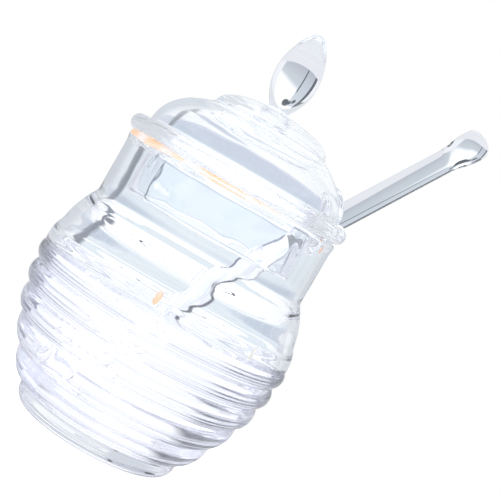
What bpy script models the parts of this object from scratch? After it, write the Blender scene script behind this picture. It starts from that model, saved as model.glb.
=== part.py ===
"""Glass honey pot with a domed lid, a glass dipper and a clear filling.

Blender 4.5, metres, Z up. The pot stands on z = 0 with its axis on the Z axis.
The dipper leans towards +X and a little towards +Y, out through a hole in the lid.
"""

import bpy
import bmesh
import math
from mathutils import Matrix

MM = 0.001
GAP = 0.3

# Pot, in millimetres. One value for each groove between two rings, from the top down.
GROOVE_HEIGHTS = (71.0, 57.4, 49.2, 43.0, 35.0, 26.1, 16.2, 6.2)
GROOVE_RADII = (37.4, 42.7, 44.3, 42.8, 41.9, 39.6, 35.2, 28.65)
RING_BULGES = (0.8, 0.7, 1.4, 2.0, 1.75, 1.6, 2.0)
RING_STEPS = 4
INNER_STEPS = 3
POT_SEGMENTS = 44
NECK_RADIUS = 37.4
NECK_TOP = 90.6
LIP_RADIUS = 37.8
LIP_TOP = 92.85
LIP_ROUND = 1.2
NECK_WALL = 2.0
RING_WALL = 2.5
INNER_BULGE_SHARE = 0.55
FLOOR_HEIGHT = 8.5
FLOOR_FILLET = 7.0
HEEL_ROUND = 4.3

# Filling
FILL_LEVEL = 48.2

# Lid
LID_SEGMENTS = 38
BEAD_CENTRE_RADIUS = 36.7
BEAD_CENTRE_HEIGHT = 96.0
BEAD_ROUND = 2.8
DOME_RADIUS = 34.6
DOME_FOOT = 98.0
DOME_RISE = 19.0
DOME_POWER = 2.5
CREASE_HEIGHT = 114.6
CAP_RADIUS = 19.4
CAP_FOOT = 114.9
CAP_RISE = 6.1
CAP_POWER = 2.2
LID_WALL = 2.2
SKIRT_RADIUS = 30.0
SKIRT_WALL = 2.0
SKIRT_FOOT = 75.6
PLATE_UNDERSIDE = 94.3
PLATE_TOP = 97.2
PLUG_RADIUS = 6.4
PLUG_FOOT = 113.6
FINIAL_RADIUS = 7.57
FINIAL_NECK_RADIUS = 3.4
FINIAL_NECK_HEIGHT = 121.7
FINIAL_WAIST_HEIGHT = 134.0
FINIAL_TIP_HEIGHT = 149.6

# Dipper
DIPPER_SEGMENTS = 16
DIPPER_LEAN = math.atan(0.6415)
DIPPER_TURN = math.radians(10.0)
STEM_RADIUS = 4.0
NOSE_RADIUS = 4.6
NOSE_CENTRE_HEIGHT = FLOOR_HEIGHT + GAP + NOSE_RADIUS + 0.05
STEM_AXIS_AT_99 = 33.9
HEAD_RADIUS = 7.3
HEAD_RIBS = 7
HEAD_START = 3.0
HEAD_LENGTH = 34.0
GROOVE_DEPTH = 2.1
KNOB_RADIUS = 5.3
KNOB_CENTRE_HEIGHT = 144.3
KNOB_HALF_LENGTH = 4.6

# Hole in the lid for the dipper's handle
HOLE_RADIUS = 5.8
HOLE_SHIFT = HOLE_RADIUS - STEM_RADIUS - GAP
COLLAR_RADIUS = 7.9
COLLAR_RAISE = 1.2


def clear_scene():
    for item in list(bpy.data.objects):
        bpy.data.objects.remove(item, do_unlink=True)


def make_material(name, colour, roughness, alpha=1.0):
    material = bpy.data.materials.new(name)
    material.use_nodes = True
    shader = material.node_tree.nodes["Principled BSDF"]
    shader.inputs["Base Color"].default_value = (*colour, 1.0)
    shader.inputs["Roughness"].default_value = roughness
    shader.inputs["Metallic"].default_value = 0.0
    shader.inputs["IOR"].default_value = 1.5
    shader.inputs["Alpha"].default_value = alpha
    return material


def arc_between(start, end, bulge, steps):
    """Points of a circular arc from start to end, bulging towards larger radius."""
    dr = end[0] - start[0]
    dz = end[1] - start[1]
    chord = math.hypot(dr, dz)
    radius = (chord * chord / 4.0 + bulge * bulge) / (2.0 * bulge)
    half = math.asin(min(1.0, chord / (2.0 * radius)))
    normal = (-dz / chord, dr / chord)
    if normal[0] < 0.0:
        normal = (-normal[0], -normal[1])
    along = (dr / chord, dz / chord)
    centre_r = (start[0] + end[0]) / 2.0 - normal[0] * (radius - bulge)
    centre_z = (start[1] + end[1]) / 2.0 - normal[1] * (radius - bulge)
    points = []
    for step in range(steps + 1):
        angle = -half + 2.0 * half * step / steps
        points.append((
            centre_r + radius * (normal[0] * math.cos(angle) + along[0] * math.sin(angle)),
            centre_z + radius * (normal[1] * math.cos(angle) + along[1] * math.sin(angle)),
        ))
    return points


def round_corner(centre, radius, start_angle, end_angle, steps):
    """Points on a circle in the profile plane, angles measured from outwards to up."""
    points = []
    for step in range(steps + 1):
        angle = math.radians(start_angle + (end_angle - start_angle) * step / steps)
        points.append((centre[0] + radius * math.cos(angle), centre[1] + radius * math.sin(angle)))
    return points


def ring_wall(radii, heights, bulges, steps):
    """The rings from the neck down, without the last groove's point."""
    points = []
    for index, bulge in enumerate(bulges):
        start = (radii[index], heights[index])
        end = (radii[index + 1], heights[index + 1])
        points.extend(arc_between(start, end, bulge, steps)[:-1])
    return points


def pot_inner_profile(gap=0.0):
    """The inner wall from the neck down to the axis, moved inwards by gap."""
    radii = [NECK_RADIUS - NECK_WALL - gap]
    radii.extend(radius - RING_WALL - gap for radius in GROOVE_RADII[1:-1])
    bulges = [bulge * INNER_BULGE_SHARE for bulge in RING_BULGES[:-1]]
    points = ring_wall(radii, GROOVE_HEIGHTS[:-1], bulges, INNER_STEPS)
    last = (radii[-1], GROOVE_HEIGHTS[-2])
    fillet_centre = (last[0] - FLOOR_FILLET - 0.2, FLOOR_HEIGHT + FLOOR_FILLET)
    points.append(last)
    points.extend(round_corner(fillet_centre, FLOOR_FILLET - gap, -15, -90, 4))
    points.append((0.0, FLOOR_HEIGHT + gap))
    return points


def pot_profile():
    """Closed half section of the pot, from the bottom centre round to the floor's centre."""
    outer = ring_wall(GROOVE_RADII, GROOVE_HEIGHTS, RING_BULGES, RING_STEPS)
    outer.append((GROOVE_RADII[-1], GROOVE_HEIGHTS[-1]))
    side = GROOVE_RADII[-1]
    heel = round_corner((side - HEEL_ROUND, HEEL_ROUND), HEEL_ROUND, 0, -90, 4)
    lip_centre = (LIP_RADIUS - LIP_ROUND, LIP_TOP - LIP_ROUND)
    lip = round_corner(lip_centre, LIP_ROUND, 150, -20, 5)
    inner = pot_inner_profile()
    top_down = lip + [(NECK_RADIUS, NECK_TOP - 1.2)] + outer + heel + [(0.0, 0.0)]
    bottom_up = list(reversed(inner))
    return top_down + bottom_up + [(NECK_RADIUS - NECK_WALL, NECK_TOP - 0.6)]


def dome_radius(height, inset=0.0):
    share = max(0.0, min(1.0, (height - DOME_FOOT) / (DOME_RISE - inset)))
    return (DOME_RADIUS - inset) * (1.0 - share ** DOME_POWER) ** (1.0 / DOME_POWER)


def cap_radius(height, inset=0.0):
    share = max(0.0, min(1.0, (height - CAP_FOOT) / (CAP_RISE - inset)))
    return (CAP_RADIUS - inset) * (1.0 - share ** CAP_POWER) ** (1.0 / CAP_POWER)


def finial_profile():
    """The finial from its tip down to its neck."""
    points = [(0.0, FINIAL_TIP_HEIGHT)]
    rise = FINIAL_TIP_HEIGHT - FINIAL_WAIST_HEIGHT
    for share in (0.97, 0.88, 0.72, 0.52, 0.28, 0.0):
        radius = FINIAL_RADIUS * (1.0 - share ** 1.65) ** 0.65
        points.append((radius, FINIAL_WAIST_HEIGHT + rise * share))
    drop = FINIAL_WAIST_HEIGHT - FINIAL_NECK_HEIGHT
    swell = FINIAL_RADIUS - FINIAL_NECK_RADIUS
    for share in (0.35, 0.6, 0.82, 1.0):
        radius = FINIAL_NECK_RADIUS + swell * (1.0 - share ** 2.1)
        points.append((radius, FINIAL_WAIST_HEIGHT - drop * share))
    return points


def lid_outer_profile():
    """The lid's outer face from below the finial to the bead's underside."""
    points = [(4.4, 120.9)]
    for height in (120.55, 119.6, 118.2, 116.6):
        points.append((cap_radius(height), height))
    points.append((CAP_RADIUS, CREASE_HEIGHT + 0.5))
    for height in (CREASE_HEIGHT - 0.4, 112.8, 110.5, 107.6, 104.0, 100.6):
        points.append((dome_radius(height), height))
    bead = (BEAD_CENTRE_RADIUS, BEAD_CENTRE_HEIGHT)
    points.extend(round_corner(bead, BEAD_ROUND, 118, -130, 9))
    return points


def lid_profile():
    """Closed half section of the lid, from the finial's tip round to the plug's foot."""
    skirt_mid = SKIRT_RADIUS - SKIRT_WALL / 2.0
    points = finial_profile() + lid_outer_profile()
    points.append((SKIRT_RADIUS + 1.2, PLATE_UNDERSIDE))
    points.append((SKIRT_RADIUS, PLATE_UNDERSIDE - 1.2))
    skirt_centre = (skirt_mid, SKIRT_FOOT + SKIRT_WALL / 2.0)
    points.extend(round_corner(skirt_centre, SKIRT_WALL / 2.0, 0, -180, 4))
    points.append((SKIRT_RADIUS - SKIRT_WALL, PLATE_TOP - 2.6))
    points.append((SKIRT_RADIUS - SKIRT_WALL + 1.0, PLATE_TOP - 0.6))
    points.append((DOME_RADIUS - LID_WALL - 1.2, PLATE_TOP + 0.4))
    for height in (100.0, 104.5, 108.5, 111.4):
        points.append((dome_radius(height, LID_WALL), height))
    points.append((CAP_RADIUS - LID_WALL, CREASE_HEIGHT - 1.2))
    for height in (116.0, 117.4):
        points.append((cap_radius(height, LID_WALL), height))
    points.append((PLUG_RADIUS + 2.4, 118.6))
    points.append((PLUG_RADIUS, 117.6))
    points.extend(round_corner((PLUG_RADIUS - 2.0, PLUG_FOOT + 2.0), 2.0, 0, -90, 3))
    points.append((0.0, PLUG_FOOT))
    return points


def collar_profile():
    """A shell that follows the dome, a little proud of it, for the raised hole rim."""
    outer = []
    inner = []
    for height in (96.6, 100.5, 104.0, 107.0, 109.6, 112.2):
        outer.append((dome_radius(height) + COLLAR_RAISE, height))
        inner.append((dome_radius(height) - 1.1, height))
    return outer + list(reversed(inner))


def dipper_profile(offset=0.0):
    """Half section of the dipper along its own axis, from the tip to the knob's end.

    The nose's centre is the local origin. A positive offset gives a larger cutter.
    """
    points = [(0.0, -NOSE_RADIUS - offset)]
    for angle in (-62, -34, -10):
        radians = math.radians(angle)
        radius = (NOSE_RADIUS + offset) * math.cos(radians)
        points.append((radius, (NOSE_RADIUS + offset) * math.sin(radians)))
    pitch = HEAD_LENGTH / HEAD_RIBS
    for rib in range(HEAD_RIBS):
        centre = HEAD_START + pitch * (rib + 0.5)
        share = abs(2.0 * (centre - HEAD_START) / HEAD_LENGTH - 1.0)
        crest = HEAD_RADIUS * (1.0 - 0.2 * share ** 2.5)
        valley = crest - GROOVE_DEPTH
        half = pitch * 0.26
        points.append((crest + offset, centre - half))
        points.append((crest + offset, centre + half))
        if rib < HEAD_RIBS - 1:
            points.append((valley + offset, centre + pitch * 0.43))
            points.append((valley + offset, centre + pitch * 0.57))
    head_end = HEAD_START + HEAD_LENGTH
    points.append((STEM_RADIUS + offset, head_end + 0.6))
    knob_centre = (KNOB_CENTRE_HEIGHT - NOSE_CENTRE_HEIGHT) / math.cos(DIPPER_LEAN)
    points.append((STEM_RADIUS + offset, knob_centre - KNOB_HALF_LENGTH - 2.4))
    points.append((STEM_RADIUS - 0.3 + offset, knob_centre - KNOB_HALF_LENGTH))
    for share in (-0.55, 0.0, 0.5, 0.85):
        radius = KNOB_RADIUS * (1.0 - abs(share) ** 2.4) ** (1.0 / 2.4)
        points.append((radius + offset, knob_centre + KNOB_HALF_LENGTH * share))
    points.append((0.0, knob_centre + KNOB_HALF_LENGTH + offset))
    return points


def dipper_matrix(shift=0.0):
    """Places a part made along Z on the leaning axis, moved up and inwards by shift."""
    lean = DIPPER_LEAN
    radial = STEM_AXIS_AT_99 + math.tan(lean) * (NOSE_CENTRE_HEIGHT - 99.0)
    radial -= shift * math.cos(lean)
    height = NOSE_CENTRE_HEIGHT + shift * math.sin(lean)
    move = Matrix.Translation((radial * MM, 0.0, height * MM))
    turn = Matrix.Rotation(DIPPER_TURN, 4, "Z")
    return turn @ move @ Matrix.Rotation(lean, 4, "Y")


def revolve(name, profile, segments, matrix=None):
    """A closed solid from a half section given as (radius, height) in millimetres."""
    mesh = bpy.data.meshes.new(name)
    body = bmesh.new()
    rings = []
    for radius, height in profile:
        if radius < 1e-6:
            rings.append([body.verts.new((0.0, 0.0, height * MM))])
            continue
        ring = []
        for segment in range(segments):
            angle = 2.0 * math.pi * segment / segments
            x = radius * MM * math.cos(angle)
            y = radius * MM * math.sin(angle)
            ring.append(body.verts.new((x, y, height * MM)))
        rings.append(ring)
    pairs = list(zip(rings[:-1], rings[1:]))
    if len(rings[0]) > 1:
        pairs.append((rings[-1], rings[0]))
    for upper, lower in pairs:
        if len(upper) == 1 and len(lower) == 1:
            continue
        for segment in range(segments):
            following = (segment + 1) % segments
            if len(upper) == 1:
                body.faces.new((upper[0], lower[segment], lower[following]))
            elif len(lower) == 1:
                body.faces.new((upper[segment], lower[0], upper[following]))
            else:
                body.faces.new((upper[segment], lower[segment], lower[following], upper[following]))
    bmesh.ops.recalc_face_normals(body, faces=body.faces)
    if matrix is not None:
        bmesh.ops.transform(body, matrix=matrix, verts=body.verts)
    for face in body.faces:
        face.smooth = True
    body.to_mesh(mesh)
    body.free()
    item = bpy.data.objects.new(name, mesh)
    bpy.context.scene.collection.objects.link(item)
    return item


def apply_boolean(target, tool, operation):
    """Applies one exact boolean to target and removes the tool."""
    modifier = target.modifiers.new("Join", "BOOLEAN")
    modifier.operation = operation
    modifier.solver = "EXACT"
    modifier.object = tool
    bpy.context.view_layer.update()
    graph = bpy.context.evaluated_depsgraph_get()
    result = bpy.data.meshes.new_from_object(target.evaluated_get(graph))
    target.modifiers.remove(modifier)
    old = target.data
    target.data = result
    result.name = target.name
    bpy.data.meshes.remove(old)
    bpy.data.objects.remove(tool, do_unlink=True)


def make_rod(name, radius, start, end, segments, shift):
    profile = [(0.0, start), (radius, start), (radius, end), (0.0, end)]
    return revolve(name, profile, segments, dipper_matrix(shift))


def build_pot():
    pot = revolve("pot", pot_profile(), POT_SEGMENTS)
    pot.data.materials.append(make_material("pot_glass", (0.86, 0.9, 0.93), 0.04, 0.35))
    return pot


def build_lid():
    lid = revolve("lid", lid_profile(), LID_SEGMENTS)
    collar = revolve("collar", collar_profile(), LID_SEGMENTS)
    core = make_rod("collar_core", COLLAR_RADIUS, 60.0, 135.0, 20, HOLE_SHIFT)
    apply_boolean(collar, core, "INTERSECT")
    apply_boolean(lid, collar, "UNION")
    hole = make_rod("hole_cutter", HOLE_RADIUS, 50.0, 140.0, 20, HOLE_SHIFT)
    apply_boolean(lid, hole, "DIFFERENCE")
    lid.data.materials.clear()
    lid.data.materials.append(make_material("lid_glass", (0.86, 0.9, 0.93), 0.04, 0.35))
    return lid


def build_dipper():
    dipper = revolve("dipper", dipper_profile(), DIPPER_SEGMENTS, dipper_matrix())
    dipper.data.materials.append(make_material("dipper_glass", (0.8, 0.86, 0.9), 0.04, 0.45))
    return dipper


def build_fill():
    wall = [point for point in pot_inner_profile(GAP + 0.05) if point[1] < FILL_LEVEL - 0.5]
    above = [point for point in pot_inner_profile(GAP + 0.05) if point[1] >= FILL_LEVEL - 0.5][-1]
    share = (FILL_LEVEL - wall[0][1]) / (above[1] - wall[0][1])
    level_radius = wall[0][0] + (above[0] - wall[0][0]) * share
    profile = [(0.0, FILL_LEVEL), (level_radius, FILL_LEVEL)] + wall
    fill = revolve("honey_fill", profile, POT_SEGMENTS)
    cutter = revolve("dipper_cutter", dipper_profile(GAP + 0.05), DIPPER_SEGMENTS, dipper_matrix())
    apply_boolean(fill, cutter, "DIFFERENCE")
    fill.data.materials.clear()
    fill.data.materials.append(make_material("clear_filling", (0.9, 0.9, 0.95), 0.05, 0.4))
    return fill


def main():
    clear_scene()
    build_pot()
    build_lid()
    build_dipper()
    build_fill()


main()
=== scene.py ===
"""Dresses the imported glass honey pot: pot, lid, dipper, clear filling, honey traces and a plain stage."""

import math

import bmesh
import bpy
from bpy.props import FloatProperty, FloatVectorProperty, IntProperty, PointerProperty
from bpy.types import Operator, Panel, PropertyGroup
from mathutils import Matrix, Vector, noise


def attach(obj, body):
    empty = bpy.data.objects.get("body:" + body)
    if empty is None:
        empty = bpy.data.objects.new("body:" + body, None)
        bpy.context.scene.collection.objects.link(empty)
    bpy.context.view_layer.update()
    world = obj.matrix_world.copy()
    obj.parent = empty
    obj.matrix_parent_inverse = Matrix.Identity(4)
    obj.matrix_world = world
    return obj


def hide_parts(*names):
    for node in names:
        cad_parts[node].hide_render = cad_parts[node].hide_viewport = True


bl_info = {
    "name": "Glass Honey Pot",
    "version": (1, 0, 0),
    "blender": (4, 5, 0),
    "location": "View3D > Sidebar > Honey Pot",
    "description": "Builds a ringed glass honey pot with its lid, dipper and clear filling",
    "category": "Object",
}

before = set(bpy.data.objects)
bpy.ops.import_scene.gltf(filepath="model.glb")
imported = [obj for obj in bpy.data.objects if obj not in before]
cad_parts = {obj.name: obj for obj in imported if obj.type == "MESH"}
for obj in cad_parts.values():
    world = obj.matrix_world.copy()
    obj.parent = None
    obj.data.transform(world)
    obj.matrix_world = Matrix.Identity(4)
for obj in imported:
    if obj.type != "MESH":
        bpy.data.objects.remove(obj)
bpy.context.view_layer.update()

MM = 0.001
AXIS = Vector((0.0, 0.0, 1.0))
ORIGIN = Vector((0.0, 0.0, 0.0))
MERGE = 0.000002
SHARP_ANGLE = math.radians(38.0)
HOLE_SLACK = 0.3 * MM
DOME_FULLNESS = 2.2
SMALL_DOME_SHIFT = 1.2 * MM
CREASE_DEPTH = 0.3 * MM
REACH_HEIGHT = 0.099
RIPPLE_HEIGHT = 0.4 * MM
SOFT_EDGE = 0.5
SMUDGE = 0.03
FLOOR_GLOW = 0.9
NODES_IN_ROW = 12
GLASS_BOUNCES = 40


def length(name, description, default):
    return FloatProperty(name=name, description=description, default=default, unit="LENGTH")


def lengths(name, description, *default):
    return FloatVectorProperty(
        name=name, description=description, size=len(default), default=default, unit="LENGTH")


def colour(name, description, *default):
    return FloatVectorProperty(name=name, description=description, default=default, subtype="COLOR")


class PotSizes(PropertyGroup):
    groove_heights: lengths(
        "Groove heights", "Height of each groove between two rings, from the top down",
        0.071, 0.0574, 0.0492, 0.043, 0.035, 0.0261, 0.0162, 0.0062)
    groove_radii: lengths(
        "Groove radii", "Outer radius of the pot at each groove, from the top down",
        0.0374, 0.0427, 0.0443, 0.0428, 0.0419, 0.0396, 0.0352, 0.02865)
    ring_bulges: lengths(
        "Ring bulges", "How far each ring stands out between its two grooves",
        0.0008, 0.0007, 0.0014, 0.002, 0.00175, 0.0016, 0.002)
    lip_radius: length("Lip radius", "Outer radius of the rounded lip", 0.0378)
    lip_top: length("Lip height", "Height of the lip's top", 0.09285)
    lip_round: length("Lip rounding", "Radius of the lip's rounding", 0.0012)
    neck_wall: length("Neck wall", "Thickness of the glass in the neck", 0.002)
    ring_wall: length("Ring wall", "Thickness of the glass in the grooves", 0.0032)
    inner_bulge: FloatProperty(
        name="Inner bulge", description="How much of a ring's bulge the inner wall follows",
        default=0.25, subtype="FACTOR")
    swell_heights: lengths(
        "Swell heights", "Heights between which the upper wall swells and thins",
        0.08, 0.07478, 0.06919, 0.06455, 0.05532, 0.05351, 0.04995, 0.046)
    swells: lengths(
        "Swells", "Extra thickness of the upper wall at the swell heights",
        0.0, 0.0001, -0.00027, 0.00022, -0.00037, -0.0001, -0.00026, 0.0)
    floor_height: length("Floor height", "Height of the floor inside", 0.0085)
    floor_fillet: length("Floor fillet", "Radius where the floor meets the wall", 0.007)
    heel_round: length("Heel rounding", "Radius of the foot's lower edge", 0.0043)
    punt_depth: length(
        "Hollow under the foot", "Depth of the shallow hollow under the foot", 0.0007)
    segments: IntProperty(
        name="Segments", description="Faces around the pot", default=144)


class FillingSizes(PropertyGroup):
    level: length("Level", "Height of the filling's surface", 0.0482)
    meniscus: length("Meniscus", "How far the surface climbs at the glass", 0.0009)
    reach: length(
        "Reach", "How far the filling reaches into the glass, so that no air shows", 0.0004)


class LidSizes(PropertyGroup):
    bead_radius: length("Bead radius", "Radius of the bead's centre circle", 0.0367)
    bead_height: length("Bead height", "Height of the bead's centre", 0.096)
    bead_round: length("Bead rounding", "Radius of the bead's section", 0.0028)
    dome_radius: length("Dome radius", "Outer radius at the dome's foot", 0.0342)
    dome_foot: length("Dome foot", "Height of the dome's foot", 0.098)
    dome_rise: length("Dome rise", "Height that the dome would reach if it closed", 0.019)
    crease_height: length("Crease height", "Height where the small dome starts", 0.1139)
    cap_radius: length("Small dome radius", "Radius of the small upper dome", 0.0202)
    cap_rise: length("Small dome rise", "Rise of the small upper dome", 0.0068)
    wall: length("Wall", "Thickness of the dome's glass", 0.0022)
    skirt_radius: length("Skirt radius", "Outer radius of the inner skirt", 0.03)
    skirt_wall: length("Skirt wall", "Thickness of the inner skirt", 0.002)
    skirt_foot: length("Skirt foot", "Height of the skirt's lower edge", 0.0756)
    plug_radius: length("Plug radius", "Radius of the solid glass under the knob", 0.0064)
    plug_foot: length("Plug foot", "Height of the plug's lower end", 0.1136)
    knob_radius: length("Knob radius", "Largest radius of the drop-shaped knob", 0.00757)
    knob_neck: length("Knob neck", "Radius of the knob's neck", 0.0034)
    knob_foot: length("Knob foot", "Height of the knob's neck", 0.1217)
    knob_waist: length("Knob waist", "Height of the knob's widest place", 0.134)
    knob_tip: length("Knob tip", "Height of the knob's tip", 0.1496)
    hole_radius: length("Hole radius", "Radius of the slanted hole for the dipper", 0.0058)
    rim_round: length("Hole rim", "Radius of the raised rim about the hole", 0.0015)
    segments: IntProperty(name="Segments", description="Faces around the lid", default=128)


class DipperSizes(PropertyGroup):
    slope: FloatProperty(
        name="Slope", description="Sideways run for each unit of height", default=0.6415)
    turn: FloatProperty(
        name="Turn", description="Turn of the dipper's plane to the back", default=math.radians(10.0),
        subtype="ANGLE")
    reach_at_bead: length(
        "Reach at the bead", "Distance of the stem from the axis at 99 mm height", 0.0339)
    stem_radius: length("Stem radius", "Radius of the glass stem", 0.004)
    nose_radius: length("Nose radius", "Radius of the lower end", 0.0046)
    nose_height: length("Nose height", "Height of the nose's centre", 0.01345)
    head_radius: length("Head radius", "Largest radius of the ribbed head", 0.0073)
    head_start: length("Head start", "Distance from the nose to the first rib", 0.003)
    head_length: length("Head length", "Length of the ribbed head", 0.034)
    ribs: IntProperty(name="Ribs", description="Number of ribs on the head", default=7)
    groove_depth: length("Groove depth", "Depth between two ribs", 0.0021)
    knob_radius: length("End knob radius", "Radius of the end knob", 0.0053)
    knob_height: length("End knob height", "Height of the end knob's centre", 0.1443)
    knob_half: length("End knob half length", "Half the end knob's length", 0.0046)
    segments: IntProperty(name="Segments", description="Faces around the dipper", default=72)


class GlassFinish(PropertyGroup):
    tint: colour("Glass tint", "Colour of the clear glass", 0.985, 0.992, 0.996)
    cool_tint: colour(
        "Cool tint", "Colour of the glass where it is a little denser", 0.955, 0.975, 0.985)
    filling_tint: colour("Filling tint", "Colour of the clear filling", 0.978, 0.973, 0.996)
    dense_filling_tint: colour(
        "Dense filling tint", "Colour of the filling where it is a little denser", 0.968, 0.964, 0.992)
    honey: colour("Honey", "Colour of the thin honey traces", 0.98, 0.7, 0.45)
    glass_ior: FloatProperty(
        name="Glass refraction", description="Index of refraction of the glass", default=1.5)
    filling_ior: FloatProperty(
        name="Filling refraction", description="Index of refraction of the filling", default=1.492)
    unevenness: length("Unevenness", "How far the hand-finished glass wanders", 0.00012)


class StageSetup(PropertyGroup):
    distance: length("Camera distance", "Distance from the pot's axis", 0.38)
    eye_height: length("Eye height", "Height of the camera", 0.0935)
    aim_side: length("Aim to the side", "Sideways place of the point aimed at", 0.0146)
    aim_height: length("Aim height", "Height of the point aimed at", 0.078)
    roll: FloatProperty(
        name="Roll", description="Roll of the camera about its line of sight", default=math.radians(30.0),
        subtype="ANGLE")
    lens: FloatProperty(name="Lens", description="Focal length in millimetres", default=84.5)
    floor_radius: length("Floor radius", "Radius of the pale floor", 0.15)


def arc_between(start, end, bulge, steps):
    """Points of a circular arc from start to end that bulges outwards."""
    run = end[0] - start[0]
    rise = end[1] - start[1]
    chord = math.hypot(run, rise)
    radius = (chord * chord / 4.0 + bulge * bulge) / (2.0 * bulge)
    half = math.asin(min(1.0, chord / (2.0 * radius)))
    normal = (-rise / chord, run / chord)
    if normal[0] < 0.0:
        normal = (-normal[0], -normal[1])
    along = (run / chord, rise / chord)
    centre = [(start[i] + end[i]) / 2.0 - normal[i] * (radius - bulge) for i in (0, 1)]
    points = []
    for step in range(steps + 1):
        angle = -half + 2.0 * half * step / steps
        points.append(tuple(
            centre[i] + radius * (normal[i] * math.cos(angle) + along[i] * math.sin(angle))
            for i in (0, 1)))
    return points


def share_of(value, low, high):
    """How far the value lies from low to high, held between 0 and 1."""
    return max(0.0, min(1.0, (value - low) / (high - low)))


def corner(centre, radius, start, end, steps):
    """Points on a circle in the profile plane, from one angle in degrees to another."""
    angles = [math.radians(start + (end - start) * step / steps) for step in range(steps + 1)]
    return [(centre[0] + radius * math.cos(a), centre[1] + radius * math.sin(a)) for a in angles]


def ring_outline(radii, heights, bulges, steps=10):
    points = []
    for index, bulge in enumerate(bulges):
        start = (radii[index], heights[index])
        end = (radii[index + 1], heights[index + 1])
        points.extend(arc_between(start, end, bulge, steps)[:-1])
    return points


def evenly_spaced(points, spacing):
    runs = [0.0]
    for first, second in zip(points[:-1], points[1:]):
        runs.append(runs[-1] + math.dist(first, second))
    count = max(2, round(runs[-1] / spacing))
    spaced = []
    place = 0
    for step in range(count + 1):
        wanted = runs[-1] * step / count
        while place < len(runs) - 2 and runs[place + 1] < wanted:
            place += 1
        span = runs[place + 1] - runs[place]
        share = 0.0 if span == 0.0 else (wanted - runs[place]) / span
        spaced.append(tuple(
            points[place][i] + (points[place + 1][i] - points[place][i]) * share for i in (0, 1)))
    return spaced


def softened(points, spacing, reach):
    """The profile with even spacing and its corners rounded over about the given reach."""
    spaced = evenly_spaced(points, spacing)
    window = max(1, round(2.0 * reach / spacing))
    result = []
    for index in range(len(spaced)):
        near = min(window, index, len(spaced) - 1 - index)
        total = [0.0, 0.0]
        weights = 0.0
        for step in range(-near, near + 1):
            weight = math.exp(-2.0 * (step * spacing / reach) ** 2)
            weights += weight
            for i in (0, 1):
                total[i] += spaced[index + step][i] * weight
        result.append((total[0] / weights, total[1] / weights))
    return result


def cleaned(shape):
    bmesh.ops.remove_doubles(shape, verts=shape.verts, dist=MERGE)
    bmesh.ops.recalc_face_normals(shape, faces=shape.faces)
    return shape


def spun(points, segments):
    """A closed bmesh spun about the Z axis from a profile whose two ends lie on the axis."""
    shape = bmesh.new()
    verts = [shape.verts.new((max(0.0, radius), 0.0, height)) for radius, height in points]
    edges = [shape.edges.new(pair) for pair in zip(verts[:-1], verts[1:])]
    bmesh.ops.spin(shape, geom=verts + edges, axis=AXIS, cent=ORIGIN, dvec=ORIGIN,
                   angle=2.0 * math.pi, steps=segments, use_merge=True, use_duplicate=False)
    return cleaned(shape)


def wander(shape, amount, size, seed, top=1.0, outside=1.0):
    """Moves each point a little in or out by smooth noise, as in hand-finished glass."""
    for vert in shape.verts:
        radius = math.hypot(vert.co.x, vert.co.y)
        if radius < 0.002 or vert.co.z > top or radius > outside:
            continue
        place = vert.co / size + Vector((seed, 0.0, 0.0))
        shift = noise.noise(place) * amount * min(1.0, radius / 0.02)
        vert.co.x += vert.co.x / radius * shift
        vert.co.y += vert.co.y / radius * shift


def object_from(shape, name):
    """A new object in the scene from a bmesh, which is used up."""
    mesh = bpy.data.meshes.new(name)
    shape.to_mesh(mesh)
    shape.free()
    item = bpy.data.objects.new(name, mesh)
    bpy.context.scene.collection.objects.link(item)
    return item


def finish_mesh(shape, name, material):
    """Turns a bmesh into a smooth-shaded piece with its material."""
    for face in shape.faces:
        face.smooth = True
    for edge in shape.edges:
        if len(edge.link_faces) == 2 and edge.calc_face_angle(0.0) > SHARP_ANGLE:
            edge.smooth = False
    piece = object_from(shape, name)
    piece.data.materials.append(material)
    return piece


def evaluated_mesh(item):
    bpy.context.view_layer.update()
    graph = bpy.context.evaluated_depsgraph_get()
    return bpy.data.meshes.new_from_object(item.evaluated_get(graph))


def discard(item):
    """Removes a helper object and its mesh."""
    mesh = item.data
    bpy.data.objects.remove(item, do_unlink=True)
    bpy.data.meshes.remove(mesh)


def combined(shape, steps):
    """Runs boolean steps, each an operation and a bmesh, on a bmesh and returns the result."""
    base = object_from(shape, "work_base")
    for operation, tool_shape in steps:
        tool = object_from(tool_shape, "work_tool")
        modifier = base.modifiers.new("Join", "BOOLEAN")
        modifier.operation = operation
        modifier.solver = "MANIFOLD"
        modifier.object = tool
        old = base.data
        joined = evaluated_mesh(base)
        base.modifiers.remove(modifier)
        base.data = joined
        bpy.data.meshes.remove(old)
        discard(tool)
    result = bmesh.new()
    result.from_mesh(base.data)
    discard(base)
    bmesh.ops.remove_doubles(result, verts=result.verts, dist=MERGE)
    bmesh.ops.dissolve_degenerate(result, edges=result.edges, dist=MERGE)
    return result


def swell_at(sizes, height):
    """The upper wall's extra thickness at a height, in soft waves between the given places."""
    pairs = list(zip(sizes.swell_heights, sizes.swells))
    for (upper, first), (lower, second) in zip(pairs[:-1], pairs[1:]):
        if upper >= height >= lower:
            share = (upper - height) / (upper - lower)
            return first + (second - first) * (0.5 - 0.5 * math.cos(math.pi * share))
    return 0.0


def inwards(points, distance):
    """The same line moved to its inner side by an even distance."""
    moved = []
    for index, point in enumerate(points):
        before = points[max(0, index - 1)]
        after = points[min(len(points) - 1, index + 1)]
        run, rise = after[0] - before[0], after[1] - before[1]
        size = math.hypot(run, rise)
        moved.append((point[0] - distance * abs(rise) / size,
                      point[1] + distance * run / size * math.copysign(1.0, rise)))
    return moved


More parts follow.
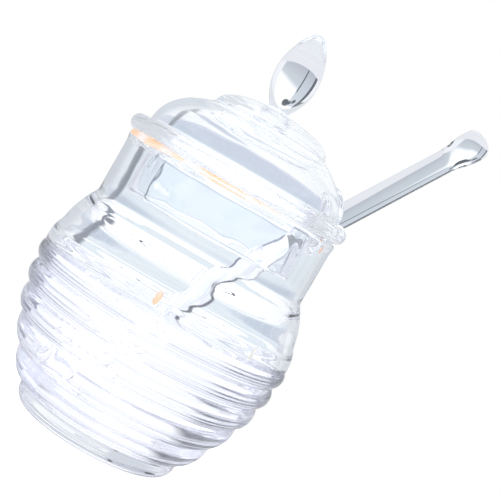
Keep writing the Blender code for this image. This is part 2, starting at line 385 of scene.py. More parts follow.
def pot_inner_outline(sizes, out=0.0):
    """The inner wall from the neck down to the floor's centre, moved into the glass by out."""
    upper = ring_outline(sizes.groove_radii[:3], sizes.groove_heights[:3], sizes.ring_bulges[:2], 30)
    upper = [(sizes.groove_radii[0], sizes.groove_heights[0] + 6 * MM)] + upper
    upper = softened(upper, 0.3 * MM, 1.1 * MM)
    points = []
    for start, end in zip(upper, inwards(upper, 1.0)):
        blend = share_of(start[1], sizes.groove_heights[0], sizes.groove_heights[0] - 8 * MM)
        wall = sizes.neck_wall + (sizes.ring_wall - sizes.neck_wall) * blend + swell_at(sizes, start[1])
        height = start[1] + (end[1] - start[1]) * wall
        if sizes.groove_heights[2] + 1 * MM < height < sizes.groove_heights[0] + 4 * MM:
            points.append((start[0] + (end[0] - start[0]) * wall + out, height))
    radii = [radius - sizes.ring_wall + out for radius in sizes.groove_radii[2:-1]]
    bulges = [bulge * sizes.inner_bulge for bulge in sizes.ring_bulges[2:-1]]
    points += ring_outline(radii, sizes.groove_heights[2:-1], bulges)
    last = (radii[-1], sizes.groove_heights[-2])
    points.append(last)
    centre = (last[0] - sizes.floor_fillet - 0.2 * MM, sizes.floor_height - out + sizes.floor_fillet)
    points += corner(centre, sizes.floor_fillet, -15, -90, 12)
    points.append((0.0, sizes.floor_height - out))
    return points


def pot_outline(sizes):
    """The pot's half section from under the foot, up the outside and down the inside."""
    side = sizes.groove_radii[-1]
    heel = corner((side - sizes.heel_round, sizes.heel_round), sizes.heel_round, -90, 0, 12)
    upper = [(sizes.groove_radii[0], sizes.lip_top - 3.4 * MM)]
    upper += ring_outline(sizes.groove_radii[:3], sizes.groove_heights[:3], sizes.ring_bulges[:2], 30)
    upper.append((sizes.groove_radii[2], sizes.groove_heights[2]))
    outer = softened(upper, 0.3 * MM, 1.1 * MM)
    outer += ring_outline(sizes.groove_radii[2:], sizes.groove_heights[2:], sizes.ring_bulges[2:])[1:]
    outer.append((side, sizes.groove_heights[-1]))
    under = [(0.0, sizes.punt_depth), (side - sizes.heel_round - 6 * MM, sizes.punt_depth * 0.8),
             (side - sizes.heel_round - 2.5 * MM, 0.0)]
    lip_centre = (sizes.lip_radius - sizes.lip_round, sizes.lip_top - sizes.lip_round)
    lip = corner(lip_centre, sizes.lip_round, -20, 150, 14)
    neck_inside = sizes.groove_radii[0] - sizes.neck_wall
    outside = under + heel + list(reversed(outer))
    inside = [(neck_inside, sizes.lip_top - 2.9 * MM)] + pot_inner_outline(sizes)
    return softened(outside + lip + inside, 0.45 * MM, 0.5 * MM)


def dome_at(sizes, height):
    share = share_of(height, sizes.dome_foot, sizes.dome_foot + sizes.dome_rise)
    return sizes.dome_radius * (1.0 - share ** DOME_FULLNESS) ** (1.0 / DOME_FULLNESS)


def cap_at(sizes, height):
    foot = sizes.crease_height + CREASE_DEPTH
    share = share_of(height, foot, foot + sizes.cap_rise)
    return sizes.cap_radius * (1.0 - share ** DOME_FULLNESS) ** (1.0 / DOME_FULLNESS)


def dome_line(sizes, start, end, steps):
    heights = [start + (end - start) * step / steps for step in range(steps + 1)]
    return [(dome_at(sizes, height), height) for height in heights]


def cap_line(sizes, *shares):
    foot = sizes.crease_height + CREASE_DEPTH
    heights = [foot + sizes.cap_rise * share for share in shares]
    return [(cap_at(sizes, height), height) for height in heights]


def knob_outline(sizes):
    points = []
    rise = sizes.knob_tip - sizes.knob_waist
    for step in range(25):
        share = math.cos(math.pi / 2.0 * step / 24)
        radius = sizes.knob_radius * max(0.0, 1.0 - share ** 1.65) ** 0.65
        points.append((radius, sizes.knob_waist + rise * share))
    drop = sizes.knob_waist - sizes.knob_foot
    for step in range(1, 21):
        share = step / 20
        radius = sizes.knob_neck + (sizes.knob_radius - sizes.knob_neck) * (1.0 - share ** 2.1)
        points.append((radius, sizes.knob_waist - drop * share))
    return points


def lid_outline(sizes):
    """The lid's half section from the knob's tip, down the outside and up the inside."""
    top = sizes.crease_height + CREASE_DEPTH + sizes.cap_rise
    points = knob_outline(sizes) + [(4.6 * MM, top - 0.15 * MM)]
    points += cap_line(sizes, 0.94, 0.86, 0.76, 0.64, 0.5, 0.34, 0.16, 0.03)
    low = sizes.dome_foot + 1.0 * MM
    points += dome_line(sizes, sizes.crease_height - 0.4 * MM, low, 24)
    bead = (sizes.bead_radius, sizes.bead_height)
    points += corner(bead, sizes.bead_round, 136, -130, 40)
    underside = sizes.bead_height - 1.7 * MM
    points += [(sizes.skirt_radius + 1.2 * MM, underside), (sizes.skirt_radius, underside - 1.2 * MM)]
    half = sizes.skirt_wall / 2.0
    points += corner((sizes.skirt_radius - half, sizes.skirt_foot + half), half, 0, -180, 12)
    inside = sizes.skirt_radius - sizes.skirt_wall
    points += [(inside, sizes.bead_height - 1.4 * MM), (inside + 1.0 * MM, sizes.bead_height + 0.6 * MM),
               (sizes.dome_radius - sizes.wall - 0.5 * MM, sizes.bead_height + 1.9 * MM)]
    points += inwards(dome_line(sizes, low, sizes.crease_height, 40), sizes.wall)
    cap = cap_line(sizes, 0.02, 0.2, 0.36, 0.5, 0.62, 0.72, 0.8, 0.86, 0.91, 0.95)
    points += [point for point in inwards(cap, sizes.wall) if point[1] > points[-1][1] + 0.3 * MM]
    points += [(sizes.plug_radius + 2.6 * MM, top - 2.3 * MM),
               (sizes.plug_radius + 0.3 * MM, top - 3.2 * MM)]
    points += corner((sizes.plug_radius - 2.2 * MM, sizes.plug_foot + 2.2 * MM), 2.2 * MM, 0, -90, 10)
    points.append((0.0, sizes.plug_foot))
    return softened(points, 0.4 * MM, 0.4 * MM)


def dipper_outline(sizes, out=0.0):
    """The dipper's half section along its own axis, from the nose to the end knob."""
    nose = sizes.nose_radius + out
    points = corner((0.0, 0.0), nose, -90, -5, 14)
    pitch = sizes.head_length / sizes.ribs
    steps = 16
    for rib in range(sizes.ribs):
        middle = sizes.head_start + pitch * (rib + 0.5)
        share = abs(2.0 * (middle - sizes.head_start) / sizes.head_length - 1.0)
        crest = sizes.head_radius * (1.0 - 0.2 * share ** 2.5)
        for step in range(steps):
            phase = step / steps
            wave = math.cos(2.0 * math.pi * (phase - 0.5))
            level = 0.5 + 0.5 * math.copysign(abs(wave) ** 0.55, wave)
            radius = crest - sizes.groove_depth * (1.0 - level)
            if rib == 0 and phase < 0.25:
                radius = max(radius, sizes.nose_radius)
            points.append((radius + out, sizes.head_start + pitch * (rib + phase)))
    points.append((sizes.stem_radius + out, sizes.head_start + sizes.head_length + 0.8 * MM))
    lean = math.atan(sizes.slope)
    knob = (sizes.knob_height - sizes.nose_height) / math.cos(lean)
    points.append((sizes.stem_radius + out, knob - sizes.knob_half * 2.4))
    for step in range(1, 37):
        share = -2.3 + 3.3 * step / 36
        flare = share_of(share, -2.3, -0.2)
        flare *= flare * (3.0 - 2.0 * flare)
        radius = sizes.stem_radius + (sizes.knob_radius - sizes.stem_radius) * flare
        if share > 0.0:
            radius = sizes.knob_radius * max(0.0, 1.0 - share ** 2.8) ** (1.0 / 2.8)
        points.append((radius + out * (1.0 if step < 36 else 0.0), knob + sizes.knob_half * share))
    return softened(points, 0.4 * MM, 0.35 * MM)


def dipper_placing(sizes, shift=0.0):
    """The matrix from the dipper's own axis to its leaning place, moved up and in by shift."""
    lean = math.atan(sizes.slope)
    reach = sizes.reach_at_bead + sizes.slope * (sizes.nose_height - REACH_HEIGHT) - shift * math.cos(lean)
    height = sizes.nose_height + shift * math.sin(lean)
    move = Matrix.Translation((reach, 0.0, height))
    return Matrix.Rotation(sizes.turn, 4, "Z") @ move @ Matrix.Rotation(lean, 4, "Y")


class NodeMaker:
    """Adds linked nodes to a material's or the world's tree; an input is a socket or a plain value."""

    def __init__(self, owner):
        owner.use_nodes = True
        self.nodes = owner.node_tree.nodes
        self.links = owner.node_tree.links

    def feed(self, node, inputs):
        for name, value in inputs.items():
            if isinstance(value, bpy.types.NodeSocket):
                self.links.new(value, node.inputs[name])
            else:
                node.inputs[name].default_value = value

    def add(self, kind, inputs=None, **settings):
        node = self.nodes.new("ShaderNode" + kind)
        place = len(self.nodes)
        node.location = (200.0 * (place % NODES_IN_ROW), -260.0 * (place // NODES_IN_ROW))
        for name, value in settings.items():
            setattr(node, name, value)
        self.feed(node, inputs or {})
        return node

    def maths(self, operation, *values):
        return self.add("Math", dict(enumerate(values)), operation=operation).outputs["Value"]

    def product(self, first, *others):
        for other in others:
            first = self.maths("MULTIPLY", first, other)
        return first

    def largest(self, first, *others):
        for other in others:
            first = self.maths("MAXIMUM", first, other)
        return first

    def spread(self, value, low, high, top=1.0):
        """The value mapped from low to high onto 0 to top, and held there."""
        inputs = {"Value": value, "From Min": low, "From Max": high, "To Max": top}
        return self.add("MapRange", inputs).outputs["Result"]

    def band(self, value, low, high, edge=SOFT_EDGE):
        """One between low and high and zero elsewhere, with soft edges."""
        return self.product(self.spread(value, low - edge, low + edge),
                            self.spread(value, high + edge, high - edge))

    def noise(self, coordinates, scale, detail):
        inputs = {"Vector": coordinates, "Scale": scale, "Detail": detail, "Roughness": 0.5}
        return self.add("TexNoise", inputs).outputs["Fac"]

    def ramp(self, value, stops):
        """A colour ramp from stops of position and colour."""
        item = self.add("ValToRGB", {"Fac": value})
        elements = item.color_ramp.elements
        for element, (position, shade) in zip(elements, (stops[0], stops[-1])):
            element.position = position
            element.color = (*shade, 1.0)
        for position, shade in stops[1:-1]:
            elements.new(position).color = (*shade, 1.0)
        return item.outputs["Color"]

    def blend(self, factor, first, second):
        """The first colour, or the second where the factor is one."""
        if not isinstance(second, bpy.types.NodeSocket):
            second = (*second, 1.0)
        inputs = {"Factor": factor, "A": first, "B": second}
        return self.add("Mix", inputs, data_type="RGBA").outputs["Result"]


def started(name):
    """A new material, the maker of its nodes and the place on the object."""
    material = bpy.data.materials.new(name)
    maker = NodeMaker(material)
    return material, maker, maker.add("TexCoord").outputs["Object"]


def clear_material(name, light, dense, ior, ripple, ripple_scale, smudge, soft=None, glow=0.0):
    """Clear glass or syrup: soft tint changes, faint ripples in the surface and light smudges.

    A soft band, given by its lowest and highest place, is rougher by the amount that comes third.
    """
    material, maker, place = started(name)
    roughness = 0.0
    if smudge:
        roughness = maker.spread(maker.noise(place, 160.0, 4.0), 0.55, 0.8, smudge)
    if soft:
        low, high, amount = soft
        height = maker.add("SeparateXYZ", {"Vector": place}).outputs["Z"]
        band = maker.band(height, low, high, 0.5 * MM)
        roughness = maker.maths("MULTIPLY_ADD", band, amount, roughness)
    bump = maker.add("Bump", {
        "Strength": ripple, "Distance": RIPPLE_HEIGHT, "Height": maker.noise(place, ripple_scale, 1.0)})
    # Where glow is above zero the glass gets a faint bluish-white emission, a painted glow.
    maker.feed(maker.nodes["Principled BSDF"], {
        "Base Color": maker.ramp(maker.noise(place, 45.0, 2.0), ((0.35, dense), (0.65, light))),
        "Transmission Weight": 1.0, "IOR": ior, "Metallic": 0.0, "Roughness": roughness,
        "Emission Color": (0.9, 0.93, 1.0, 1.0), "Emission Strength": glow,
        "Normal": bump.outputs["Normal"]})
    return material


def honey_material(name, amber):
    """Thin amber honey: glossy, partly clear, deeper where it is thicker."""
    material, maker, place = started(name)
    thick = (amber[0], amber[1] * 0.92, amber[2] * 0.8)
    thin = (1.0, min(1.0, amber[1] * 1.5), amber[2] * 2.6)
    # The amber emission is a painted glow that brightens the honey.
    maker.feed(maker.nodes["Principled BSDF"], {
        "Base Color": maker.ramp(maker.noise(place, 110.0, 2.0), ((0.35, thick), (0.7, thin))),
        "Transmission Weight": 0.55, "IOR": 1.49, "Roughness": 0.12,
        "Emission Color": (*amber, 1.0), "Emission Strength": 0.22})
    return material


def floor_material(name):
    """Plain pale ground that glows to stay evenly bright, with a faint mottle; where the glass mirrors it
    the glow is turned down, a painted dark reflection.
    """
    material, maker, place = started(name)
    path = maker.add("LightPath")
    mirrored = maker.product(maker.spread(path.outputs["Glossy Depth"], 0.4, 0.6),
                             maker.spread(path.outputs["Transmission Depth"], 0.6, 0.4))
    mottle = ((0.0, (0.78, 0.785, 0.80)), (1.0, (0.81, 0.812, 0.82)))
    maker.feed(maker.nodes["Principled BSDF"], {
        "Base Color": maker.ramp(maker.noise(place, 12.0, 2.0), mottle),
        "Roughness": 0.9, "Specular IOR Level": 0.1, "Emission Color": (1.0, 1.0, 1.0, 1.0),
        "Emission Strength": maker.maths("MULTIPLY_ADD", mirrored, -FLOOR_GLOW, FLOOR_GLOW)})
    return material


def glass(scene, name, ripple=0.12, scale=90.0, soft=None, glow=0.0):
    finish = scene.honey_pot_finish
    return clear_material(name, finish.tint, finish.cool_tint, finish.glass_ior, ripple, scale, SMUDGE,
                          soft, glow)


class HONEYPOT_OT_pot(Operator):
    """Build the ringed glass pot"""
    bl_idname = "honeypot.pot"
    bl_label = "Glass Pot"

    def execute(self, context):
        sizes = context.scene.honey_pot
        shape = spun(pot_outline(sizes), sizes.segments)
        wander(shape, context.scene.honey_pot_finish.unevenness, 0.02, 3.1)
        piece = finish_mesh(shape, "glass_pot", glass(context.scene, "pot_glass"))
        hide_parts("pot")
        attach(piece, "root")
        return {"FINISHED"}


def hole_path(lid, dipper, count):
    """Points where a tube about the dipper's line meets the lid's outer face."""
    placing = dipper_placing(dipper, lid.hole_radius - dipper.stem_radius - HOLE_SLACK)
    start = placing.translation
    along = (placing.to_3x3() @ AXIS).normalized()
    across = (placing.to_3x3() @ Vector((1.0, 0.0, 0.0))).normalized()
    beside = along.cross(across)
    radius = lid.hole_radius + lid.rim_round * 0.75
    points = []
    for step in range(count):
        angle = 2.0 * math.pi * step / count
        line = start + radius * (math.cos(angle) * across + math.sin(angle) * beside)
        low, high = 0.06, 0.135
        for _ in range(40):
            middle = (low + high) / 2.0
            place = line + along * middle
            distance = math.hypot(place.x, place.y)
            bead_rise = place.z - lid.bead_height
            limit = dome_at(lid, place.z)
            if abs(bead_rise) < lid.bead_round:
                limit = max(limit, lid.bead_radius + math.sqrt(lid.bead_round ** 2 - bead_rise ** 2))
            if distance < limit and place.z < lid.crease_height:
                low = middle
            else:
                high = middle
        place = line + along * low
        sink = share_of(place.z, lid.dome_foot + 2.6 * MM, lid.dome_foot - 0.4 * MM)
        points.append(line + along * (low - 2.6 * MM * sink * sink))
    return points


def tube_shape(points, radius, resolution):
    """A closed round tube along a loop of points."""
    curve = bpy.data.curves.new("work_curve", "CURVE")
    curve.dimensions = "3D"
    curve.bevel_depth = radius
    curve.bevel_resolution = resolution
    spline = curve.splines.new("POLY")
    spline.points.add(len(points) - 1)
    for target, point in zip(spline.points, points):
        target.co = (*point, 1.0)
    spline.use_cyclic_u = True
    item = bpy.data.objects.new("work_curve", curve)
    bpy.context.scene.collection.objects.link(item)
    mesh = evaluated_mesh(item)
    shape = bmesh.new()
    shape.from_mesh(mesh)
    bpy.data.objects.remove(item, do_unlink=True)
    bpy.data.meshes.remove(mesh)
    return cleaned(shape)


class HONEYPOT_OT_lid(Operator):
    """Build the domed glass lid with its knob and its hole for the dipper"""
    bl_idname = "honeypot.lid"
    bl_label = "Glass Lid"

    def execute(self, context):
        sizes = context.scene.honey_pot_lid
        dipper = context.scene.honey_pot_dipper
        shape = spun(lid_outline(sizes), sizes.segments)
        self.lean_small_dome(shape, sizes)
        wander(shape, context.scene.honey_pot_finish.unevenness, 0.018, 7.7)
        wander(shape, 0.0003, 0.006, 2.3, sizes.bead_height - 3.5 * MM, sizes.skirt_radius + 0.5 * MM)
        rim = tube_shape(hole_path(sizes, dipper, 72), sizes.rim_round, 6)
        hole = bmesh.new()
        bmesh.ops.create_cone(hole, cap_ends=True, segments=96, radius1=sizes.hole_radius,
                              radius2=sizes.hole_radius, depth=0.09)
        shift = sizes.hole_radius - dipper.stem_radius - HOLE_SLACK
        place = dipper_placing(dipper, shift) @ Matrix.Translation((0.0, 0.0, 0.09))
        bmesh.ops.transform(hole, matrix=place, verts=hole.verts)
        shape = combined(shape, [("UNION", rim), ("DIFFERENCE", hole)])
        # The lid's glass gets a faint painted glow.
        material = glass(context.scene, "lid_glass", 0.16, soft=(
            sizes.bead_height - sizes.bead_round, sizes.bead_height + sizes.bead_round, 0.1), glow=0.008)
        piece = finish_mesh(shape, "glass_lid", material)
        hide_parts("lid")
        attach(piece, "root")
        return {"FINISHED"}

    def lean_small_dome(self, shape, sizes):
        """The small dome sits a little to the right of the axis, as in the photo."""
        for vert in shape.verts:
            radius = math.hypot(vert.co.x, vert.co.y)
            raised = share_of(vert.co.z, sizes.crease_height - 3.0 * MM, sizes.crease_height)
            away = share_of(radius, 8.0 * MM, 16.0 * MM)
            vert.co.x += SMALL_DOME_SHIFT * raised * away


class HONEYPOT_OT_dipper(Operator):
    """Build the glass dipper with its ribbed head and end knob"""
    bl_idname = "honeypot.dipper"
    bl_label = "Glass Dipper"

    def execute(self, context):
        sizes = context.scene.honey_pot_dipper
        shape = spun(dipper_outline(sizes), sizes.segments)
        bmesh.ops.transform(shape, matrix=dipper_placing(sizes), verts=shape.verts)
        material = glass(context.scene, "dipper_glass", 0.1, 70.0)
        piece = finish_mesh(shape, "glass_dipper", material)
        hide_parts("dipper")
        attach(piece, "root")
        return {"FINISHED"}


class HONEYPOT_OT_filling(Operator):
    """Build the clear filling up to its level, closed round the dipper"""
    bl_idname = "honeypot.filling"
    bl_label = "Clear Filling"

    def execute(self, context):
        sizes = context.scene.honey_pot_filling
        pot = context.scene.honey_pot
        dipper = context.scene.honey_pot_dipper
        finish = context.scene.honey_pot_finish
        wall = [p for p in pot_inner_outline(pot, sizes.reach) if p[1] < sizes.level + sizes.meniscus]
        edge = wall[0][0]
        top = [(0.0, sizes.level)]
        for step in range(13):
            share = step / 12
            radius = edge - sizes.reach - 3.0 * MM * (1.0 - share)
            top.append((radius, sizes.level + sizes.meniscus * share ** 3))
        shape = spun(softened(top + wall, 0.5 * MM, 0.3 * MM), pot.segments)
        cutter = spun(dipper_outline(dipper, -0.07 * MM), dipper.segments)
        bmesh.ops.transform(cutter, matrix=dipper_placing(dipper), verts=cutter.verts)
        shape = combined(shape, [("DIFFERENCE", cutter)])
        material = clear_material("clear_filling", finish.filling_tint, finish.dense_filling_tint,
                                  finish.filling_ior, 0.05, 60.0, 0.0)
        piece = finish_mesh(shape, "clear_filling", material)
        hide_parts("honey_fill")
        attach(piece, "root")
        return {"FINISHED"}


# Each smear: first and last angle from the front in degrees, height from the lip's top, half depth and
# half height in millimetres.
HONEY_RING = 37.75 * MM
HONEY_SMEARS = (
    (-78.0, -22.0, -0.45, 0.55, 1.3), (-24.0, 26.0, 0.1, 0.4, 0.5), (-20.0, 12.0, -1.1, 0.4, 0.4),
)
# Each spot: name, colour, angle from the front in degrees, height, distance from the axis, half width
# and half height in millimetres. The first two are inside the pot, 2 to 4 mm clear of its wall.
HONEY_SPOTS = (
    ("honey_spot", (1.0, 0.72, 0.42), -4.8, 53.9, 37.6, 0.9, 2.2),
    ("syrup_spot", (0.86, 0.86, 0.55), 49.5, 52.0, 38.6, 0.6, 2.2),
    ("rim_spot", (0.85, 0.5, 0.28), 61.5, 89.8, 37.5, 0.35, 1.4),
)


class HONEYPOT_OT_traces(Operator):
    """Build the thin amber honey traces in the joint under the lid and the small spots"""
    bl_idname = "honeypot.traces"
    bl_label = "Honey Traces"

    def execute(self, context):
        finish = context.scene.honey_pot_finish
        material = honey_material("honey_trace", finish.honey)
        pot = context.scene.honey_pot
        shape = bmesh.new()
        for start, end, height, across, thick in HONEY_SMEARS:
            self.add_smear(shape, math.radians(start), math.radians(end), pot.lip_top + height * MM,
                           across * MM, thick * MM)
        piece = finish_mesh(shape, "honey_traces", material)
        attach(piece, "root")
        for name, shade, side, height, radius, half_width, half_height in HONEY_SPOTS:
            shape = self.spot_shape(math.radians(side), height * MM, radius * MM, half_width * MM,
                                    half_height * MM)
            piece = finish_mesh(shape, name, honey_material(name, shade))
            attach(piece, "root")
        return {"FINISHED"}

    def spot_shape(self, side, height, radius, half_width, half_height):
        """A thin uneven drop, curved about the axis at its distance from it."""
        shape = bmesh.new()
        bmesh.ops.create_icosphere(shape, subdivisions=4, radius=1.0)
        for vert in shape.verts:
            uneven = 1.0 + 0.45 * noise.noise(vert.co * 1.6 + Vector((height * 900.0, side, 0.0)))
            lean = 0.35 * vert.co.z * half_width
            vert.co = Vector((vert.co.x * half_width * uneven + lean, vert.co.y * 0.3 * MM,
                              vert.co.z * half_height * uneven))
        for vert in shape.verts:
            turn = side + vert.co.x / radius
            out = radius - vert.co.y
            vert.co = Vector((out * math.sin(turn), -out * math.cos(turn), height + vert.co.z))
        bmesh.ops.recalc_face_normals(shape, faces=shape.faces)
        return shape

    def add_smear(self, shape, start, end, middle, across, thick):
        """A thin bead of honey along the lip, from one angle to another, uneven and tapered."""
        made = bmesh.ops.create_circle(shape, segments=14, radius=1.0)["verts"]
        edges = list({edge for vert in made for edge in vert.link_edges})
        for vert in made:
            vert.co = Vector((HONEY_RING + vert.co.x * across, 0.0, middle + vert.co.y * thick))
        turn = Matrix.Rotation(start - math.pi / 2.0, 3, "Z")
        bmesh.ops.rotate(shape, cent=ORIGIN, matrix=turn, verts=made)
        steps = max(12, int((end - start) / math.radians(1.0)))
        before = set(shape.verts) - set(made)
        bmesh.ops.spin(shape, geom=made + edges, axis=AXIS, cent=ORIGIN, dvec=ORIGIN,
                       angle=end - start, steps=steps, use_merge=False, use_duplicate=False)
        for vert in set(shape.verts) - before:
            angle = math.atan2(vert.co.y, vert.co.x) + math.pi / 2.0
            share = max(0.02, min(0.98, (angle - start) / (end - start)))
            taper = math.sin(math.pi * share ** 0.7) ** 0.5
            swell = 0.9 + 0.35 * noise.noise(Vector((angle * 5.0, middle * 900.0, 0.0)))
            factor = max(0.12, taper * swell)
            radius = math.hypot(vert.co.x, vert.co.y)
            wanted = HONEY_RING + (radius - HONEY_RING) * factor
            vert.co.x *= wanted / radius
            vert.co.y *= wanted / radius
            vert.co.z = middle + (vert.co.z - middle) * factor
        open_edges = [edge for edge in shape.edges if edge.is_boundary]
        bmesh.ops.holes_fill(shape, edges=open_edges, sides=0)
        bmesh.ops.recalc_face_normals(shape, faces=shape.faces)


# The glass's highlights and shade are painted into this made-up studio, a different one for each kind of
# glass.
# The studio as the glass sees it. Skies give the brightness by the height of the direction, from -1 to 1,
# and sides by its angle from the back in degrees, positive to the right. The two are multiplied. Each stop
# is a place and a grey, or a place and red, green and blue.
BRIGHTEST = 3.0
TABLE_EDGE = -0.078
TABLE = (0.82, 0.83, 0.88)
SOLID_SKY = (
    (-1.0, 0.47, 0.50, 0.56), (TABLE_EDGE, 0.47, 0.50, 0.56), (0.10, 0.56, 0.61, 0.66),
    (0.25, 0.60, 0.66, 0.72), (0.66, 0.72, 0.76, 0.80), (0.74, 2.4), (1.0, 2.8),
)
SOLID_SIDES = (
    (-180, 1.2), (-47, 1.3), (-32, 0.95, 0.95, 1.0), (-14, 0.98, 0.98, 1.0), (30, 1.05),
    (60, 1.35, 1.33, 1.32), (180, 1.2),
)
HOLLOW_SKY = (
    (-1.0, 1.14, 1.13, 1.16), (TABLE_EDGE - 0.004, 1.14, 1.13, 1.16),
    (TABLE_EDGE + 0.004, 0.80, 0.86, 0.90), (-0.02, 0.86, 0.92, 0.97), (0.02, 0.78, 0.84, 0.92),
    (0.05, 0.56, 0.63, 0.73), (0.125, 0.58, 0.62, 0.74), (0.14, 1.02, 1.02, 1.03), (0.3, 1.0),
    (0.7, 1.3), (1.0, 2.0),
)
HOLLOW_SIDES = (
    (-180, 1.0), (-120, 0.9, 0.9, 0.95), (-90, 0.8, 0.79, 0.87), (-50, 0.8, 0.79, 0.87),
    (-28, 0.85, 0.85, 0.92), (-16, 1.0), (28, 1.0), (40, 0.8, 0.79, 0.9), (60, 0.7, 0.69, 0.82),
    (84, 0.8, 0.79, 0.9), (180, 1.0),
)
# Round painted dark spots, painted shade that only solid glass sees in light that was not mirrored:
# direction, then the angles in degrees where they are full and where they end.
PAINTED_DARK_SPOTS = (
    ((-0.07, 0.80, 0.595), 6.0, 8.5),
    ((-0.20, 0.80, 0.56), 2.5, 4.5),
    ((-0.32, 0.80, 0.51), 2.5, 4.5),
)


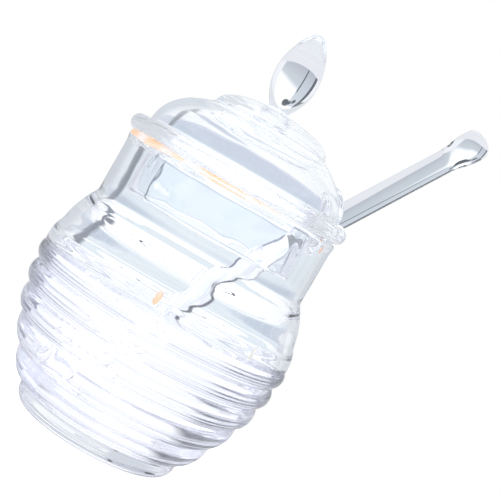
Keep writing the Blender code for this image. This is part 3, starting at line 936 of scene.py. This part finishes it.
class HONEYPOT_OT_stage(Operator):
    """Set up the plain pale floor, the soft studio surroundings and the camera"""
    bl_idname = "honeypot.stage"
    bl_label = "Stage and Camera"

    def execute(self, context):
        scene = context.scene
        setup = scene.honey_pot_stage
        self.build_floor(setup)
        self.build_surroundings(scene)
        self.build_camera(scene, setup)
        cycles = scene.cycles
        cycles.max_bounces = cycles.transmission_bounces = cycles.glossy_bounces = GLASS_BOUNCES
        cycles.diffuse_bounces = 4
        cycles.transparent_max_bounces = 16
        scene.view_settings.view_transform = "Standard"
        scene.view_settings.look = "None"
        return {"FINISHED"}

    def build_floor(self, setup):
        shape = bmesh.new()
        bmesh.ops.create_circle(shape, cap_ends=True, segments=128, radius=setup.floor_radius)
        bmesh.ops.translate(shape, vec=(0.0, 0.0, -0.05 * MM), verts=shape.verts)
        bmesh.ops.recalc_face_normals(shape, faces=shape.faces)
        floor = finish_mesh(shape, "pale_floor", floor_material("pale_floor"))

    def room(self, maker, up, turn, sky, sides):
        """Brightness by height times brightness by side; a ramp ends at 1, so both are scaled."""
        def scaled(stops, reach):
            return [(0.5 + 0.5 * stop[0] / reach, [part / BRIGHTEST for part in (stop[1:] * 3)[:3]])
                    for stop in stops]

        both = maker.add("Mix", {
            "Factor": 1.0, "A": maker.ramp(maker.spread(up, -1.0, 1.0), scaled(sky, 1.0)),
            "B": maker.ramp(maker.spread(turn, -180.0, 180.0), scaled(sides, 180.0))},
            data_type="RGBA", blend_type="MULTIPLY")
        bright = {"Vector": both.outputs["Result"], "Scale": BRIGHTEST * BRIGHTEST}
        return maker.add("VectorMath", bright, operation="SCALE").outputs["Vector"]

    def solid_room(self, maker, way, up, turn, mirrored, painted_darks):
        """What solid glass sees: a grey-blue room with a slanted window, and narrow dark bands and round
        dark spots that are painted shade.
        """
        room = self.room(maker, up, turn, SOLID_SKY, SOLID_SIDES)
        above = maker.maths("ADD", up, maker.maths("MULTIPLY_ADD", turn, math.radians(0.16), -0.195))
        window = maker.product(maker.spread(above, 0.0, 0.11), maker.band(turn, -10.0, 60.0))
        flanks = maker.largest(maker.spread(turn, 34.0, 37.5), maker.spread(turn, -43.5, -45.0))
        ground = maker.spread(up, TABLE_EDGE + 0.004, TABLE_EDGE - 0.004)
        # Light mirrored once or more sees the room greyer, a painted dark reflection.
        for part, shade in (
                (window, (1.25, 1.25, 1.25)), (flanks, (0.91, 0.92, 0.97)), (ground, TABLE),
                (maker.spread(mirrored, 0.4, 1.6), (0.74, 0.77, 0.81))):
            room = maker.blend(part, room, shade)
        for direction, full, end in PAINTED_DARK_SPOTS:
            near = maker.add("VectorMath", {0: way, 1: Vector(direction).normalized()},
                             operation="DOT_PRODUCT").outputs["Value"]
            painted_darks = maker.largest(
                painted_darks, maker.spread(near, math.cos(math.radians(end)), math.cos(math.radians(full))))
        painted_darks = maker.product(painted_darks, maker.spread(mirrored, 0.6, 0.4))
        return maker.blend(painted_darks, room, (0.045, 0.06, 0.075))

    def hollow_rooms(self, maker, up, turn, mirrored, painted_darks):
        """What the empty and the filled part see: a pale room with painted shade, dark at the edges of the
        rings.
        """
        hollow = self.room(maker, up, turn, HOLLOW_SKY, HOLLOW_SIDES)
        hollow = maker.blend(painted_darks, hollow, (0.10, 0.10, 0.13))
        filled = maker.blend(0.62, hollow, (1.09, 1.08, 1.13))
        # Light mirrored once or more sees both rooms darker, a painted dark reflection.
        faint = maker.product(maker.spread(mirrored, 0.4, 1.6), 0.7)
        painted_dark_strip = maker.product(maker.band(turn, -13.0, -10.4), maker.spread(up, 0.26, 0.2))
        lit = maker.product(maker.band(turn, -70.0, 70.0), maker.spread(up, 0.03, 0.09),
                            maker.spread(mirrored, 0.4, 0.6))
        for part, shade in ((painted_dark_strip, (0.15, 0.18, 0.22)), (faint, (0.34, 0.37, 0.41)),
                            (lit, (1.0, 1.01, 1.05))):
            hollow = maker.blend(part, hollow, shade)
        # Painted shade in the filled part: a near-black patch and a grey patch above the horizon, and dark
        # blue-grey bands to both sides.
        right = maker.product(maker.spread(up, 0.04, 0.15), maker.spread(turn, -21.0, -28.0),
                              maker.spread(turn, -125.0, -100.0))
        left = maker.product(maker.spread(up, 0.17, 0.27), maker.spread(turn, 20.0, 27.0))
        edges = maker.product(
            maker.largest(maker.band(turn, 44.0, 80.0), maker.band(turn, -80.0, -54.0)),
            maker.spread(up, 0.22, 0.14))
        for part, shade in ((right, (0.03, 0.03, 0.06)), (left, (0.5, 0.5, 0.57)),
                            (edges, (0.12, 0.13, 0.22)), (faint, (0.60, 0.60, 0.68))):
            filled = maker.blend(part, filled, shade)
        return hollow, filled

    def build_surroundings(self, scene):
        """White to the camera; to the glass a room that depends on how many faces the light crossed.

        Two or three faces mean solid glass, four or five hollow glass, six, seven and more than eight
        the filled part, and eight the neck behind the lid's skirt, which is hollow again.
        """
        world = bpy.data.worlds.new("soft_studio")
        scene.world = world
        maker = NodeMaker(world)
        maker.nodes.clear()
        way = maker.add("TexCoord").outputs["Generated"]
        split = maker.add("SeparateXYZ", {"Vector": way}).outputs
        up = split["Z"]
        turn = maker.maths("DEGREES", maker.maths("ARCTAN2", split["X"], split["Y"]))
        path = maker.add("LightPath").outputs
        through = path["Transmission Depth"]
        mirrored = path["Glossy Depth"]
        # Painted shade: a narrow dark strip and a dark band above the table, and a dark patch high to the
        # left, which draw dark lines and edges into the glass.
        wall = maker.spread(up, TABLE_EDGE, TABLE_EDGE + 0.01)
        painted_dark_strip = maker.product(maker.band(turn, -13.0, -11.0), wall, maker.spread(up, 0.34, 0.28))
        painted_dark_band = maker.product(maker.band(turn, -44.0, -34.0), wall, maker.spread(up, 0.72, 0.64))
        shade = maker.product(maker.spread(up, 0.49, 0.53), maker.band(turn, -110.0, -38.0))
        solid = self.solid_room(maker, way, up, turn, mirrored, maker.largest(painted_dark_strip, painted_dark_band, shade))
        hollow, filled = self.hollow_rooms(maker, up, turn, mirrored, maker.largest(painted_dark_band, shade))
        beyond = maker.spread(through, 8.2, 8.8)
        in_filling = maker.largest(
            maker.product(maker.spread(through, 5.2, 5.8), maker.spread(through, 7.8, 7.2)), beyond)
        seen = maker.blend(in_filling, hollow, filled)
        seen = maker.blend(maker.spread(through, 3.2, 3.8), solid, seen)
        # Light that crossed many faces is painted brighter.
        gain = maker.largest(maker.maths("MULTIPLY_ADD", through, 0.025, 0.9), 1.0)
        gain = maker.maths("MULTIPLY_ADD", beyond, 0.25, gain)
        studio = maker.add("Background", {"Color": seen, "Strength": gain})
        plain = maker.add("Background", {"Color": (1.0, 1.0, 1.0, 1.0), "Strength": 1.0})
        choice = maker.add("MixShader", {
            "Fac": path["Is Camera Ray"], 1: studio.outputs["Background"],
            2: plain.outputs["Background"]})
        maker.add("OutputWorld", {"Surface": choice.outputs["Shader"]})

    def build_camera(self, scene, setup):
        data = bpy.data.cameras.new("photo_camera")
        data.lens = setup.lens
        data.sensor_width = 36.0
        data.clip_start = 0.01
        data.dof.use_dof = False
        camera = bpy.data.objects.new("photo_camera", data)
        scene.collection.objects.link(camera)
        eye = Vector((0.0, -setup.distance, setup.eye_height))
        aim = Vector((setup.aim_side, 0.0, setup.aim_height))
        look = (aim - eye).to_track_quat("-Z", "Y").to_matrix().to_4x4()
        camera.matrix_world = Matrix.Translation(eye) @ look @ Matrix.Rotation(setup.roll, 4, "Z")
        scene.camera = camera


class HONEYPOT_PT_sidebar(Panel):
    """Lists the pieces of the honey pot"""
    bl_label = "Honey Pot"
    bl_space_type = "VIEW_3D"
    bl_region_type = "UI"
    bl_category = "Honey Pot"

    def draw(self, context):
        layout = self.layout
        for operator in BUILD_STEPS:
            layout.operator(operator.bl_idname)
        for group, _ in GROUPS:
            box = layout.box()
            settings = getattr(context.scene, group)
            for name in settings.__annotations__:
                box.prop(settings, name)


GROUPS = (
    ("honey_pot", PotSizes), ("honey_pot_filling", FillingSizes), ("honey_pot_lid", LidSizes),
    ("honey_pot_dipper", DipperSizes), ("honey_pot_finish", GlassFinish),
    ("honey_pot_stage", StageSetup),
)
BUILD_STEPS = (
    HONEYPOT_OT_pot, HONEYPOT_OT_filling, HONEYPOT_OT_lid, HONEYPOT_OT_dipper, HONEYPOT_OT_traces,
    HONEYPOT_OT_stage,
)


def register():
    for name, group in GROUPS:
        bpy.utils.register_class(group)
        setattr(bpy.types.Scene, name, PointerProperty(type=group))
    for operator in BUILD_STEPS:
        bpy.utils.register_class(operator)
    bpy.utils.register_class(HONEYPOT_PT_sidebar)


def unregister():
    bpy.utils.unregister_class(HONEYPOT_PT_sidebar)
    for operator in reversed(BUILD_STEPS):
        bpy.utils.unregister_class(operator)
    for name, group in reversed(GROUPS):
        delattr(bpy.types.Scene, name)
        bpy.utils.unregister_class(group)


def main():
    register()
    bpy.ops.honeypot.pot()
    bpy.ops.honeypot.filling()
    bpy.ops.honeypot.lid()
    bpy.ops.honeypot.dipper()
    bpy.ops.honeypot.traces()
    bpy.ops.honeypot.stage()


if __name__ == "__main__":
    main()
